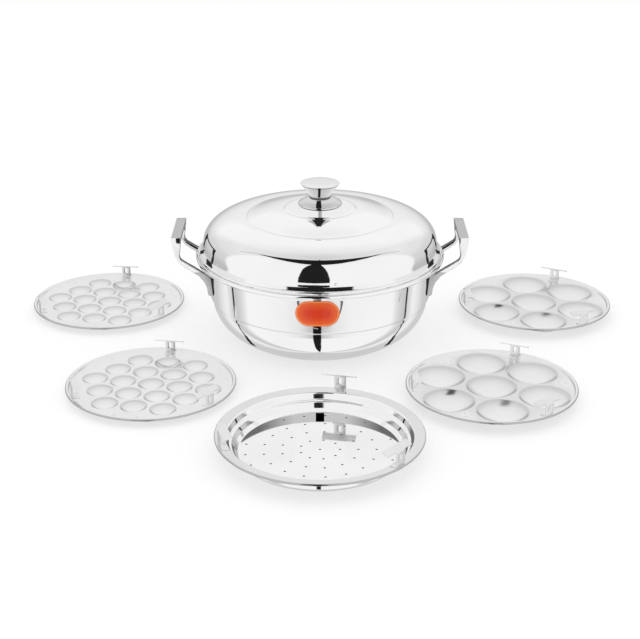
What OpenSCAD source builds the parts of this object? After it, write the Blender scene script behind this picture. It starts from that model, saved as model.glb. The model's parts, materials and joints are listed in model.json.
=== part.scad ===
// Idli steamer: a round-bottomed stainless pot with two loop handles and a
// domed lid, and the five loose plates that stack inside it: two idli plates,
// two mini-idli plates and one perforated steaming pan.
//
// Units are millimetres. Z = 0 is the table, the pot's axis is the Z axis, the
// handles lie along X, and -Y is the front. The plates lie round the pot.

/* [Pot] */
// Height of the middle of the pot's rolled rim above the table
pot_h = 114; // [104:1:130]
// Outer radius over the rolled rim
rim_r = 160; // [158:1:164]
// Outer radius of the wall just under the rim
wall_r = 146; // [143:1:148]
// Outer radius of the wall at the ledge
ledge_r = 142.5; // [141:0.5:144]
// Depth of the ledge below the rim
ledge_drop = 54; // [50:1:58]
// Outer radius where the bowl starts under the ledge
bowl_r = 139.5; // [137:0.5:141]
// Radius of the flat base
base_r = 72; // [60:1:85]
// Roundness of the bowl curve: 2 is an ellipse
bowl_power = 1.9; // [1.7:0.05:2.3]
// Sheet thickness of the pot
pot_t = 1.6; // [1.2:0.1:2]
// Radius of the rolled rim's bead
bead_r = 3; // [2.5:0.1:3.5]

/* [Handles] */
// Height of the grip's top face above the table
grip_top = 148; // [144:1:154]
// Outer face of the grip, from the pot's axis
grip_out = 188; // [184:1:192]
// Width of the grip's top face
grip_w = 12.5; // [11:0.5:14]
// Thickness of the grip bar
grip_t = 5; // [4:0.5:6]
// Length of the handle along Y
handle_len = 82; // [76:1:90]
// Thickness of each leg along Y
leg_t = 7; // [6:0.5:8]
// Thickness of the welded pads over the wall
pad_t = 3.6; // [3:0.2:4.4]
// Lowest point of the welded pads
pad_low = 69; // [66:1:74]

/* [Label] */
// Width of the blank label
label_w = 54; // [40:1:60]
// Height of the blank label
label_h = 34; // [24:1:38]
// Thickness of the label
label_t = 0.3; // [0.3:0.1:0.5]
// Height of the label's centre above the table
label_z = 88; // [82:1:92]
// Turn of the label round the pot from the front
label_turn = -1.2; // [-5:0.1:5]

/* [Lid] */
// Outer radius of the lid's rim
lid_r = 156.8; // [154:0.2:158]
// Outer radius of the dome at its foot
dome_r = 150.3; // [148:0.1:152]
// Height of the dome's foot above the rim
dome_foot = 15; // [13:0.5:18]
// Radius of the outer embossed ring
ring_r = 93.3; // [88:0.1:98]
// Height of the outer embossed ring above the rim
ring_h = 51; // [47:0.5:55]
// Radius of the raised centre
crown_r = 45; // [40:0.5:50]
// Height of the raised centre above the rim
crown_h = 62; // [58:0.5:66]
// Roundness of the dome: 2 is an ellipse
dome_power = 2.3; // [2:0.05:2.6]
// Sheet thickness of the lid
lid_t = 1.2; // [1:0.1:1.6]

/* [Knob] */
// Radius of the knob's top
knob_r = 25; // [22:0.5:28]
// Height of the knob's top above the raised centre
knob_h = 33; // [30:0.5:36]
// Radius of the knob's neck
neck_r = 12.3; // [11:0.1:13.5]
// Radius of the rosette under the knob
rosette_r = 28.4; // [27:0.1:31]
// Height of the rosette, up to the neck
rosette_h = 14; // [12:0.5:16]
// Radius of the knob screw's shank
screw_r = 2.5; // [2:0.1:3]

/* [Steaming pan] */
// Outer radius of the steaming pan
pan_r = 117; // [112:1:122]
// Depth of the steaming pan
pan_h = 23; // [20:1:26]
// Width of the pan's flat rim
pan_rim_w = 13; // [11:0.5:15]
// Radius of the pan's flat floor
pan_floor_r = 90; // [87:0.5:92]
// Radius of the steam holes
steam_hole_r = 1.4; // [1:0.1:1.8]
// Distance between the rings of steam holes
steam_pitch = 20.3; // [19:0.1:20.8]
// Number of rings of steam holes
steam_rings = 4; // [3:1:4]

/* [Idli plates] */
// Outer radius of the idli and mini-idli plates
plate_r = 103; // [102:0.5:105]
// Sheet thickness of the plates
plate_t = 1.2; // [1:0.1:1.4]
// Height of the plates' raised edge
edge_h = 3; // [2.5:0.5:4]
// Radius of an idli cavity
idli_r = 30.8; // [29:0.1:31]
// Depth of an idli cavity
idli_depth = 12; // [11:0.5:15]
// Radius of the ring of six idli cavities
idli_ring = 65.8; // [65:0.1:66.4]
// Radius of a mini-idli cavity
mini_r = 15.8; // [14.5:0.1:16]
// Depth of a mini-idli cavity
mini_depth = 6.5; // [6:0.5:9]
// Distance between neighbouring mini-idli cavities
mini_pitch = 36; // [35:0.5:37]
// Radius of the pinholes in the idli cavities
pin_r = 0.8; // [0.6:0.1:1]
// Radius of the holes near the edge
edge_hole_r = 1.8; // [1.4:0.1:2.2]
// Turn of the idli cavities on their plate
idli_turn = -17.5; // [-30:0.5:30]
// Turn of the mini-idli cavities on their plate
mini_turn = -20.5; // [-30:0.5:30]

/* [Stacking brackets] */
// Direction of a plate's first bracket
bracket_turn = 74; // [70:1:78]
// Direction of the steaming pan's first bracket
pan_bracket_turn = 78; // [70:1:82]
// Length of a bracket's top bar, as a part of the plate's diameter
bar_share = 0.173; // [0.15:0.001:0.19]
// Width of a bracket's post, as a part of the plate's diameter
post_share = 0.06; // [0.05:0.001:0.07]
// Height of a bracket's post, as a part of the plate's diameter
post_h_share = 0.073; // [0.06:0.001:0.08]
// Upward tilt of the top bar
bar_tilt = 24; // [18:1:28]
// Sheet thickness of the brackets
bracket_t = 1.2; // [1:0.1:1.5]

/* [Layout on the table] */
// Centre of the steaming pan
pan_at = [0, -328];
// Centre and turn of the idli plate at the front
idli_front_at = [205.5, -190, -7.8];
// Centre and turn of the idli plate at the rear
idli_rear_at = [294, 79, -9.4];
// Centre and turn of the mini-idli plate at the front
mini_front_at = [-204.5, -171.5, 7.6];
// Centre and turn of the mini-idli plate at the rear
mini_rear_at = [-292, 96, 9.3];

/* [Hidden] */
$fn = 96;
gap = 0.3;
steps = 12;

ledge_z = pot_h - ledge_drop;
bowl_z = ledge_z - 3;
leg_y = (handle_len - leg_t) / 2;
pad_out = sqrt(wall_r * wall_r - leg_y * leg_y) + pad_t;
flange_z = pot_h - 0.6;
lid_z = pot_h + bead_r + gap;
lid_bead_r = 1.5;
crown_z = pot_h + crown_h;
knob_z = crown_z + rosette_h;
knob_top = crown_z + knob_h;
screw_len = lid_t + rosette_h + 8;

idli_floor = idli_depth + plate_t;
mini_floor = mini_depth + plate_t;
bracket_r = plate_r - 6;
pan_bracket_r = pan_r - 2.5;
pan_bracket_z = pan_h - 1.5 + plate_t - 0.1;
pan_rim_slope = atan(1.5 / (pan_rim_w - 1.8));

// Points of a rounded corner from a (tangent along Z) to b (tangent along R).
function corner(a, b, power = 2, n = steps) = [
    for (i = [0:n]) let (q = 90 * i / n) [
        b[0] + (a[0] - b[0]) * pow(cos(q), 2 / power),
        a[1] + (b[1] - a[1]) * pow(sin(q), 2 / power)
    ]
];

function reversed(list) = [for (i = [len(list) - 1:-1:0]) list[i]];

// Pot's outline from the base's edge up to the flange; skin moves it inwards.
function pot_side(skin) = concat(
    reversed(corner([bowl_r - skin, bowl_z], [base_r, skin], bowl_power)),
    [[ledge_r - skin, ledge_z], [wall_r - skin, pot_h - 10]],
    [for (q = [30:30:90]) [
        wall_r - skin + (8 + skin) * (1 - cos(q)),
        pot_h - 10 + (9.4 - pot_t + skin) * sin(q)
    ]]
);

// The pot filled up to its flange, and grown by a skin.
module pot_outside(grow = 0) {
    rotate_extrude($fn = 240)
        polygon(concat([[0, -grow]], pot_side(-grow), [[0, flange_z - pot_t]]));
}

module kadai_bowl() {
    color("gainsboro")
    rotate_extrude() {
        polygon(concat(
            [[0, 0]], pot_side(0), [[rim_r - bead_r, flange_z - pot_t]],
            [[rim_r - bead_r, flange_z]], reversed(pot_side(pot_t)),
            [[0, pot_t]]
        ));
        translate([rim_r - bead_r, pot_h]) circle(r = bead_r, $fn = 32);
    }
}

// Side view of one handle leg, from the grip down to the pad on the wall.
leg_outline = [
    [grip_out - grip_w, grip_top - 1.2], [grip_out - grip_w + 1.2, grip_top],
    [grip_out - 1.2, grip_top], [grip_out, grip_top - 1.2],
    [grip_out - 1.4, grip_top - 14], [grip_out - 4, grip_top - 24.5],
    [grip_out - 7, grip_top - 31.5], [grip_out - 10.5, grip_top - 36],
    [grip_out - 23, grip_top - 44.5], [grip_out - 32, grip_top - 50],
    [grip_out - 37, grip_top - 55.5],
    [pad_out - 0.2, pad_low + 12], [pad_out - 1, pad_low + 3.5],
    [pad_out - 3, pad_low], [pad_out - 12, pad_low],
    [pad_out - 12, grip_top - 49], [pad_out + 2.3, grip_top - 48.5],
    [grip_out - 32, grip_top - 42.5], [grip_out - 13, grip_top - 30.5],
    [grip_out - 10.2, grip_top - 27.5], [grip_out - 10, grip_top - 24],
    [grip_out - 11.4, grip_top - 12]
];

module handle_leg(y) {
    translate([0, y + leg_t / 2, 0]) rotate([90, 0, 0])
        linear_extrude(height = leg_t) polygon(leg_outline);
}

module handle_shape() {
    for (s = [-1, 1]) handle_leg(s * leg_y);
    translate([grip_out - grip_w, -handle_len / 2 + 1, grip_top - grip_t])
        cube([grip_w, handle_len - 2, grip_t]);
}

// The pads are cut to the wall, which leaves them pad_t thick over it.
module handle(side) {
    color("silver")
    mirror([side < 0 ? 1 : 0, 0, 0])
        difference() {
            handle_shape();
            pot_outside();
        }
}

module blank_label() {
    color("orangered")
    rotate(label_turn) difference() {
        intersection() {
            pot_outside(label_t);
            translate([0, 0, label_z]) rotate([90, 0, 0]) {
                for (s = [-1, 1]) translate([s * (label_w - label_h) / 2, 0, 0])
                    cylinder(d = label_h, h = rim_r, $fn = 64);
                translate([(label_h - label_w) / 2, -label_h / 2, 0])
                    cube([label_w - label_h, label_h, rim_r]);
            }
        }
        pot_outside();
    }
}

// Lid's outline from the rim up to the screw hole; skin moves it inwards.
function lid_side(skin) = concat(
    [[lid_r - lid_bead_r, lid_z + 2 * lid_bead_r - 0.5 - skin]],
    [for (q = [60:-20:0]) [
        dome_r + 5 - skin - 5 * cos(q),
        pot_h + dome_foot - (dome_foot - bead_r - 3.2) * sin(q) - skin * sin(q)
    ]],
    [for (p = corner([dome_r - skin, pot_h + dome_foot],
                     [ring_r + 1, pot_h + ring_h - skin], dome_power))
        if (p[0] < dome_r - skin) p],
    [[ring_r - 1.5, pot_h + ring_h + 0.8 - skin]],
    [for (s = [1:6]) let (r = ring_r - 1.5 - (ring_r - 1.5 - crown_r - 3) * s / 6)
        [r, pot_h + ring_h + 0.8 - skin
            + (crown_h - ring_h - 2.6) * sin(90 * s / 6)]],
    [[crown_r, crown_z - 0.6 - skin], [crown_r - 2, crown_z - skin]]
);

module lid_dome() {
    color("gainsboro")
    rotate_extrude() {
        polygon(concat(
            lid_side(0), [[screw_r + 0.4, crown_z]],
            [[screw_r + 0.4, crown_z - lid_t]], reversed(lid_side(lid_t))
        ));
        translate([lid_r - lid_bead_r, lid_z + lid_bead_r])
            circle(r = lid_bead_r, $fn = 32);
    }
}

module knob_cap() {
    color("silver")
    rotate_extrude() polygon([
        [0, knob_z + 9], [screw_r, knob_z + 9], [screw_r, knob_z],
        [neck_r - 1.7, knob_z], [neck_r - 1.1, knob_z + 0.6],
        [neck_r, knob_z + 1.8],
        [knob_r - 1, knob_top - 2.2], [knob_r, knob_top - 1.2],
        [knob_r - 0.6, knob_top - 0.5],
        [knob_r * 0.6, knob_top - 0.1], [0, knob_top]
    ]);
}

module knob_rosette() {
    color("silver")
    rotate_extrude() polygon([
        [screw_r + 0.3, crown_z], [17, crown_z], [17.6, crown_z + 1.2],
        [rosette_r - 2.9, crown_z + 2.6], [rosette_r - 0.8, crown_z + 3.8],
        [rosette_r, crown_z + 5.2], [rosette_r - 0.8, crown_z + 6.8],
        [rosette_r - 6.8, crown_z + 10.6], [13.6, knob_z - 1.1],
        [11.6, knob_z - 0.7], [10.4, knob_z], [screw_r + 0.3, knob_z]
    ]);
}

module knob_washer() {
    color("darkgray")
    translate([0, 0, crown_z - lid_t - 1]) difference() {
        cylinder(r = 8, h = 1);
        translate([0, 0, -1]) cylinder(r = screw_r + 0.3, h = 3);
    }
}

module knob_screw() {
    head_z = crown_z - lid_t - 1 - 3;
    color("darkgray") difference() {
        union() {
            translate([0, 0, head_z]) cylinder(r = 5, h = 3);
            translate([0, 0, head_z]) cylinder(r = screw_r, h = screw_len + 3);
        }
        translate([-0.6, -6, head_z - 1]) cube([1.2, 12, 2.2]);
    }
}

// A stacking bracket: foot, post with a slot, and a tilted bar on top. It
// stands with the post's outer face at radius r, on a floor at height z that
// falls inwards by the angle slope.
module bracket(r, z, d, slope = 0) {
    bar = d * bar_share;
    post = d * post_share;
    post_h = d * post_h_share;
    foot = d * 0.041;
    bar_w = d * 0.046;
    t = bracket_t;
    color("silver")
    translate([r, 0, z]) {
        rotate([0, -slope, 0]) translate([-foot, -post / 2, 0])
            cube([foot, post, t]);
        difference() {
            translate([-t, -post / 2, 0]) cube([t, post, post_h]);
            translate([-2 * t, -1.5, post_h * 0.45])
                cube([3 * t, 3, post_h * 0.3]);
            for (s = [0.45, 0.75]) translate([-2 * t, 0, post_h * s])
                rotate([0, 90, 0]) cylinder(r = 1.5, h = 3 * t, $fn = 24);
        }
        translate([0, 0, post_h]) rotate([0, bar_tilt, 0])
            translate([-bar_w, -bar / 2, -t]) cube([bar_w, bar, t]);
    }
}

module bracket_on(at, turn, k, r, z, d, slope = 0) {
    translate([at[0], at[1], 0]) rotate(turn + 120 * k)
        bracket(r, z, d, slope);
}

module steaming_pan() {
    wall = pan_r - pan_rim_w;
    t = plate_t;
    color("gainsboro")
    translate([pan_at[0], pan_at[1], 0]) difference() {
        rotate_extrude() {
            polygon([
                [0, 0], [pan_floor_r, 0], [pan_floor_r + 3.5, 1.4],
                [pan_floor_r + 6, 5], [pan_floor_r + 8.5, 11],
                [wall - 3, 12], [wall - 1.6, 13.5],
                [wall + 0.8, pan_h - 3.4], [wall + 1.6, pan_h - 3],
                [pan_r - 1.4, pan_h - 1.5], [pan_r - 1.4, pan_h - 1.5 + t],
                [wall + 0.4, pan_h - 3 + t], [wall - 0.6, pan_h - 3.2],
                [wall - 1.6 - t, 14.2], [wall - 3.6, 13.2],
                [pan_floor_r + 7.6, 12.2], [pan_floor_r + 4.9, 5.4],
                [pan_floor_r + 2.8, 2.6], [pan_floor_r, t], [0, t]
            ]);
            translate([pan_r - 1.2, pan_h - 1.2]) circle(r = 1.2, $fn = 24);
        }
        translate([0, 0, -1]) cylinder(r = steam_hole_r, h = 4, $fn = 24);
        for (k = [1:steam_rings], i = [0:4 * k + 4])
            rotate(i * 360 / (4 * k + 5)) translate([steam_pitch * k + 2, 0, -1])
                cylinder(r = steam_hole_r, h = 4, $fn = 24);
    }
}

// Flat plate with a raised, beaded edge; its floor's top is at height z.
module plate_blank(z) {
    t = plate_t;
    r = plate_r;
    translate([0, 0, z - t]) cylinder(r = r - 5.3, h = t);
    rotate_extrude() {
        polygon([
            [r - 5.6, z - t], [r - 4.4, z - t], [r - 2.8, z + edge_h - t],
            [r - 1.4, z + edge_h - t], [r - 1.4, z + edge_h],
            [r - 3.7, z + edge_h], [r - 5.1, z], [r - 5.6, z]
        ]);
        translate([r - 1.4, z + edge_h - 1.4]) circle(r = 1.4, $fn = 24);
    }
}

// A plate with a shallow round cavity at each of the given places.
module dimpled_plate(places, cavity_r, depth, z) {
    ball = (cavity_r * cavity_r + depth * depth) / (2 * depth);
    difference() {
        union() {
            plate_blank(z);
            for (p = places) translate([p[0], p[1], 0]) intersection() {
                translate([0, 0, z - depth + ball]) sphere(r = ball + plate_t);
                cylinder(r = cavity_r + 1.6, h = z);
            }
        }
        for (p = places) translate([p[0], p[1], z - depth + ball])
            sphere(r = ball);
    }
}

function polar(r, a) = [r * cos(a), r * sin(a)];

idli_places = concat([[0, 0]],
    [for (k = [0:5]) polar(idli_ring, idli_turn + 60 * k)]);

// Hexagon of nineteen places, in rows of three, four, five, four and three.
mini_places = [
    for (row = [-2:2], i = [0:4 - abs(row)])
        let (x = (i - 2 + abs(row) / 2) * mini_pitch,
             y = row * mini_pitch * sin(60))
        [x * cos(mini_turn) - y * sin(mini_turn),
         x * sin(mini_turn) + y * cos(mini_turn)]
];

module idli_plate(at) {
    color("gainsboro")
    translate([at[0], at[1], 0]) rotate(at[2]) difference() {
        dimpled_plate(idli_places, idli_r, idli_depth, idli_floor);
        for (p = idli_places) translate([p[0], p[1], -1]) {
            cylinder(r = pin_r, h = 4, $fn = 16);
            for (i = [0:5]) rotate(60 * i) translate([10, 0, 0])
                cylinder(r = pin_r, h = 6, $fn = 16);
        }
        for (k = [0:2], i = [0:2])
            rotate(idli_turn + 30 + 120 * k) translate([85, 0, idli_floor - 3])
                rotate(120 * i) translate([5, 0, 0])
                    cylinder(r = edge_hole_r, h = 6, $fn = 24);
    }
}

module mini_plate(at) {
    color("gainsboro")
    translate([at[0], at[1], 0]) rotate(at[2]) difference() {
        dimpled_plate(mini_places, mini_r, mini_depth, mini_floor);
        for (k = [0:2], s = [-1, 1])
            rotate(mini_turn + 30 + 120 * k + 8.5 * s)
                translate([91, 0, mini_floor - 3])
                    cylinder(r = edge_hole_r, h = 6, $fn = 24);
    }
}

module pan_bracket(k) {
    bracket_on(pan_at, pan_bracket_turn, k, pan_bracket_r, pan_bracket_z,
        2 * pan_r, pan_rim_slope);
}

module plate_bracket(at, k, z) {
    bracket_on(at, bracket_turn + at[2], k, bracket_r, z, 2 * plate_r);
}

kadai_bowl();
handle(-1);  // handle_left
handle(1);  // handle_right
blank_label();
lid_dome();
knob_cap();
knob_rosette();
knob_washer();
knob_screw();
steaming_pan();
pan_bracket(0);  // pan_bracket_1
pan_bracket(1);  // pan_bracket_2
pan_bracket(2);  // pan_bracket_3
idli_plate(idli_front_at);  // idli_plate_front
plate_bracket(idli_front_at, 0, idli_floor);  // idli_front_bracket_1
plate_bracket(idli_front_at, 1, idli_floor);  // idli_front_bracket_2
plate_bracket(idli_front_at, 2, idli_floor);  // idli_front_bracket_3
idli_plate(idli_rear_at);  // idli_plate_rear
plate_bracket(idli_rear_at, 0, idli_floor);  // idli_rear_bracket_1
plate_bracket(idli_rear_at, 1, idli_floor);  // idli_rear_bracket_2
plate_bracket(idli_rear_at, 2, idli_floor);  // idli_rear_bracket_3
mini_plate(mini_front_at);  // mini_plate_front
plate_bracket(mini_front_at, 0, mini_floor);  // mini_front_bracket_1
plate_bracket(mini_front_at, 1, mini_floor);  // mini_front_bracket_2
plate_bracket(mini_front_at, 2, mini_floor);  // mini_front_bracket_3
mini_plate(mini_rear_at);  // mini_plate_rear
plate_bracket(mini_rear_at, 0, mini_floor);  // mini_rear_bracket_1
plate_bracket(mini_rear_at, 1, mini_floor);  // mini_rear_bracket_2
plate_bracket(mini_rear_at, 2, mini_floor);  // mini_rear_bracket_3
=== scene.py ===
"""Idli steamer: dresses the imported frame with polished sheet-steel pieces.

Every size is in millimetres, as in the part's source, and becomes metres only
where a mesh or a finish is made. The pot's axis is Z, its handles lie along X and the
front faces -Y.
"""

import json
import logging
import math
from collections.abc import Iterable, Sequence
from dataclasses import dataclass, field
from enum import Enum

import bmesh
import bpy
from mathutils import Matrix, Vector

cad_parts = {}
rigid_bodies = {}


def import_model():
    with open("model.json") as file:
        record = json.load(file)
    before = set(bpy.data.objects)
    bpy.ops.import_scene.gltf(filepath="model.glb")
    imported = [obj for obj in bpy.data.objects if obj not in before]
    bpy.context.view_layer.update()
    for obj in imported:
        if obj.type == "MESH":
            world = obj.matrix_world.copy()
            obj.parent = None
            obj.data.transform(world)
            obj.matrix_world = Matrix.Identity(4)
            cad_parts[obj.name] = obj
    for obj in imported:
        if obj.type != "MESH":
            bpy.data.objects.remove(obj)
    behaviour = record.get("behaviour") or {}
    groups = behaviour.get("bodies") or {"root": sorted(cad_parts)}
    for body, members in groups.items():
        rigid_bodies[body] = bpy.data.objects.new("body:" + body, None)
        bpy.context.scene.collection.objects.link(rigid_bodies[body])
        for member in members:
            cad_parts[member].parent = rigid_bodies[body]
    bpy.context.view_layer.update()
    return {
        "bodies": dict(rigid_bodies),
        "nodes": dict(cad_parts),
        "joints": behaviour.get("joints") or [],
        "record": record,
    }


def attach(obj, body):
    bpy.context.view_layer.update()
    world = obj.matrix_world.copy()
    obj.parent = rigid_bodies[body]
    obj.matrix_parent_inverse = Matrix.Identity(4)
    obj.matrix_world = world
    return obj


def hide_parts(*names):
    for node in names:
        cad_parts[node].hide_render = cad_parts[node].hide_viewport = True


LOG = logging.getLogger("idli_steamer")
MM = 0.001
NEAR = 0.00001

Point = tuple[float, float]
Colour = tuple[float, float, float]
Place = Sequence[float]
Curve = tuple[Point, ...]
Mesh = bmesh.types.BMesh
Edges = list[bmesh.types.BMEdge]
Piece = bpy.types.Object
Inputs = dict[str | int, object]

UP = (0, 0, 1)
DOWN = (0, 0, -1)


# Outlines, all as (radius, height) points in millimetres.


def polar(reach: float, angle: float, centre: Point = (0.0, 0.0)) -> Point:
    """Returns the point at a distance and an angle in degrees from a centre."""
    turn = math.radians(angle)
    return (centre[0] + reach * math.cos(turn), centre[1] + reach * math.sin(turn))


def quarter(side: Point, end: Point, power: float = 2.0, cuts: int = 20) -> list[Point]:
    """Draws a rounded quarter curve.

    Args:
        side: Its first point, where the curve runs along the height.
        end: Its last point, where the curve runs along the radius.
        power: Its roundness, where 2 is an ellipse.
        cuts: The number of steps along it.

    Returns:
        The points from side to end.
    """
    points = []
    for i in range(cuts + 1):
        turn = math.pi / 2 * i / cuts
        across = max(math.cos(turn), 0.0) ** (2 / power)
        up = math.sin(turn) ** (2 / power)
        points.append(
            (end[0] + (side[0] - end[0]) * across, side[1] + (end[1] - side[1]) * up)
        )
    return points


def arc(centre: Point, radius: float, start: float, stop: float, cuts: int = 10) -> list[Point]:
    """Draws a circular arc between two angles.

    Args:
        centre: The arc's centre.
        radius: Its radius.
        start: Its first angle, in degrees.
        stop: Its last angle, in degrees.
        cuts: The number of steps along it.

    Returns:
        The points from start to stop.
    """
    return [polar(radius, start + (stop - start) * i / cuts, centre) for i in range(cuts + 1)]


def bend(first: Point, corner: Point, last: Point, cuts: int = 6) -> list[Point]:
    """Draws a smooth bend that leans into a corner.

    Args:
        first: Its first point.
        corner: The corner.
        last: Its last point.
        cuts: The number of steps along it.

    Returns:
        The points from first to last.
    """
    return [
        tuple(
            a * (1 - s) ** 2 + b * 2 * s * (1 - s) + c * s**2
            for a, b, c in zip(first, corner, last)
        )
        for s in (i / cuts for i in range(cuts + 1))
    ]


def soften(outline: Sequence[Point], radius: float, cuts: int = 5) -> list[Point]:
    """Rounds the inner corners of an open outline.

    Args:
        outline: The corner points.
        radius: The wanted radius of each corner.
        cuts: The number of steps in each corner.

    Returns:
        The outline with a short curve in place of each inner corner.
    """
    rounded = [outline[0]]
    for before, here, after in zip(outline, outline[1:], outline[2:]):
        corner = Vector(here)
        back, ahead = Vector(before) - corner, Vector(after) - corner
        turn = math.pi - back.angle(ahead)
        if turn < 0.02:
            rounded.append(here)
            continue
        reach = min(radius * math.tan(turn / 2), 0.45 * back.length, 0.45 * ahead.length)
        first = corner + back.normalized() * reach
        last = corner + ahead.normalized() * reach
        rounded += bend(tuple(first), here, tuple(last), cuts)
    rounded.append(outline[-1])
    return rounded


# Mesh steps.


def add_outline(work: Mesh, points: Iterable[Place], closed: bool = False) -> Edges:
    """Adds a chain of edges to a mesh.

    Args:
        work: The mesh.
        points: The chain's points in millimetres.
        closed: Whether the last point joins the first.

    Returns:
        The new edges in their order.
    """
    verts = [work.verts.new(Vector(p) * MM) for p in points]
    ends = verts[1:] + verts[:1] if closed else verts[1:]
    return [work.edges.new(pair) for pair in zip(verts, ends)]


def add_circle(work: Mesh, centre: Point, radius: float, height: float, cuts: int) -> Edges:
    """Adds a level circle.

    Args:
        work: The mesh.
        centre: The circle's centre in millimetres.
        radius: Its radius in millimetres.
        height: Its height in millimetres.
        cuts: The number of its sides.

    Returns:
        Its edges.
    """
    made = bmesh.ops.create_circle(
        work,
        segments=cuts,
        radius=radius * MM,
        matrix=Matrix.Translation(Vector((*centre, height)) * MM),
    )
    return list({edge for vert in made["verts"] for edge in vert.link_edges})


def turn_round(work: Mesh, edges: Edges, centre: Point, degrees: float, steps: int) -> None:
    """Turns a chain of edges about a vertical axis.

    Args:
        work: The mesh that gets the faces.
        edges: The chain.
        centre: Where the axis stands.
        degrees: How far it turns, where 360 joins up.
        steps: The number of faces round the axis.
    """
    verts = {vert for edge in edges for vert in edge.verts}
    bmesh.ops.spin(
        work,
        geom=[*verts, *edges],
        cent=Vector((*centre, 0)) * MM,
        axis=UP,
        angle=math.radians(degrees),
        steps=steps,
        use_merge=degrees == 360,
        use_duplicate=False,
    )


def spin(
    work: Mesh, profile: Sequence[Point], centre: Point = (0.0, 0.0), steps: int = 192, closed: bool = False
) -> None:
    """Turns an outline all the way about a vertical axis.

    Args:
        work: The mesh that gets the faces.
        profile: The (radius, height) points in millimetres.
        centre: Where the axis stands.
        steps: The number of faces round the axis.
        closed: Whether the outline joins up with itself.
    """
    edges = add_outline(work, [(centre[0] + r, centre[1], z) for r, z in profile], closed)
    turn_round(work, edges, centre, 360, steps)


def pull(work: Mesh, edges: Edges, places: Sequence[Place], targets: Sequence[Place]) -> Edges:
    """Extrudes edges and moves each new corner from its place to its target.

    Args:
        work: The mesh.
        edges: The edges to extrude.
        places: Where their corners are, in millimetres.
        targets: Where the new corners go, in the same order.

    Returns:
        The new edges opposite the old ones.
    """
    made = bmesh.ops.extrude_edge_only(work, edges=edges)["geom"]
    verts = [item for item in made if isinstance(item, bmesh.types.BMVert)]
    moved = {}
    for vert in verts:
        at = min(range(len(places)), key=lambda i: (vert.co - Vector(places[i]) * MM).length)
        moved[vert] = Vector(targets[at]) * MM
    for vert, target in moved.items():
        vert.co = target
    fresh = set(verts)
    return [
        item for item in made
        if isinstance(item, bmesh.types.BMEdge) and set(item.verts) <= fresh
    ]


def sharp_edges(work: Mesh, angle: float) -> Edges:
    """Finds the sharp edges of a mesh.

    Args:
        work: The mesh.
        angle: The smallest angle in degrees of a sharp edge.

    Returns:
        The edges between two faces that meet at more than the angle.
    """
    return [
        edge for edge in work.edges
        if len(edge.link_faces) == 2 and edge.calc_face_angle(0.0) > math.radians(angle)
    ]


def crease(work: Mesh, angle: float) -> None:
    """Shades the sharp edges of a mesh as sharp.

    Args:
        work: The mesh.
        angle: The smallest angle in degrees of a sharp edge.
    """
    for edge in sharp_edges(work, angle):
        edge.smooth = False


def face_towards(work: Mesh, ahead: Place) -> None:
    """Turns the faces of an open sheet alike.

    Args:
        work: The sheet.
        ahead: The direction that most of its area then faces.
    """
    bmesh.ops.remove_doubles(work, verts=work.verts, dist=NEAR)
    bmesh.ops.recalc_face_normals(work, faces=work.faces)
    if sum(face.normal.dot(Vector(ahead)) * face.calc_area() for face in work.faces) < 0:
        bmesh.ops.reverse_faces(work, faces=work.faces)


def add_wall(work: Mesh, thickness: float) -> None:
    """Gives a sheet its thickness, in millimetres, behind its faces."""
    bmesh.ops.solidify(work, geom=work.faces[:], thickness=thickness * MM)
    work.normal_update()


def finished(name: str, work: Mesh, outwards: bool = True, sharp: float = 35.0) -> Piece:
    """Closes a working mesh and makes it a shaded object.

    Args:
        name: The object's name.
        work: The working mesh, which is freed.
        outwards: Whether the faces are turned outwards again.
        sharp: The angle in degrees from which an edge stays crisp.

    Returns:
        The new object, at the origin.
    """
    bmesh.ops.remove_doubles(work, verts=work.verts, dist=NEAR)
    if outwards:
        bmesh.ops.recalc_face_normals(work, faces=work.faces)
    for face in work.faces:
        face.smooth = True
    crease(work, sharp)
    mesh = bpy.data.meshes.new(name)
    work.to_mesh(mesh)
    work.free()
    piece = bpy.data.objects.new(name, mesh)
    bpy.context.scene.collection.objects.link(piece)
    return piece


def ease_edges(work: Mesh, width: float, segments: int = 2, angle: float = 40.0) -> None:
    """Rounds the edges of a closed mesh that are sharper than an angle.

    Args:
        work: The mesh.
        width: The width of the rounding, in millimetres.
        segments: The number of faces across it.
        angle: The smallest angle that is rounded, in degrees.
    """
    bmesh.ops.bevel(
        work,
        geom=sharp_edges(work, angle),
        offset=width * MM,
        offset_type="OFFSET",
        segments=segments,
        profile=0.5,
        affect="EDGES",
        clamp_overlap=True,
        material=-1,
    )


# Node trees.


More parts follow.
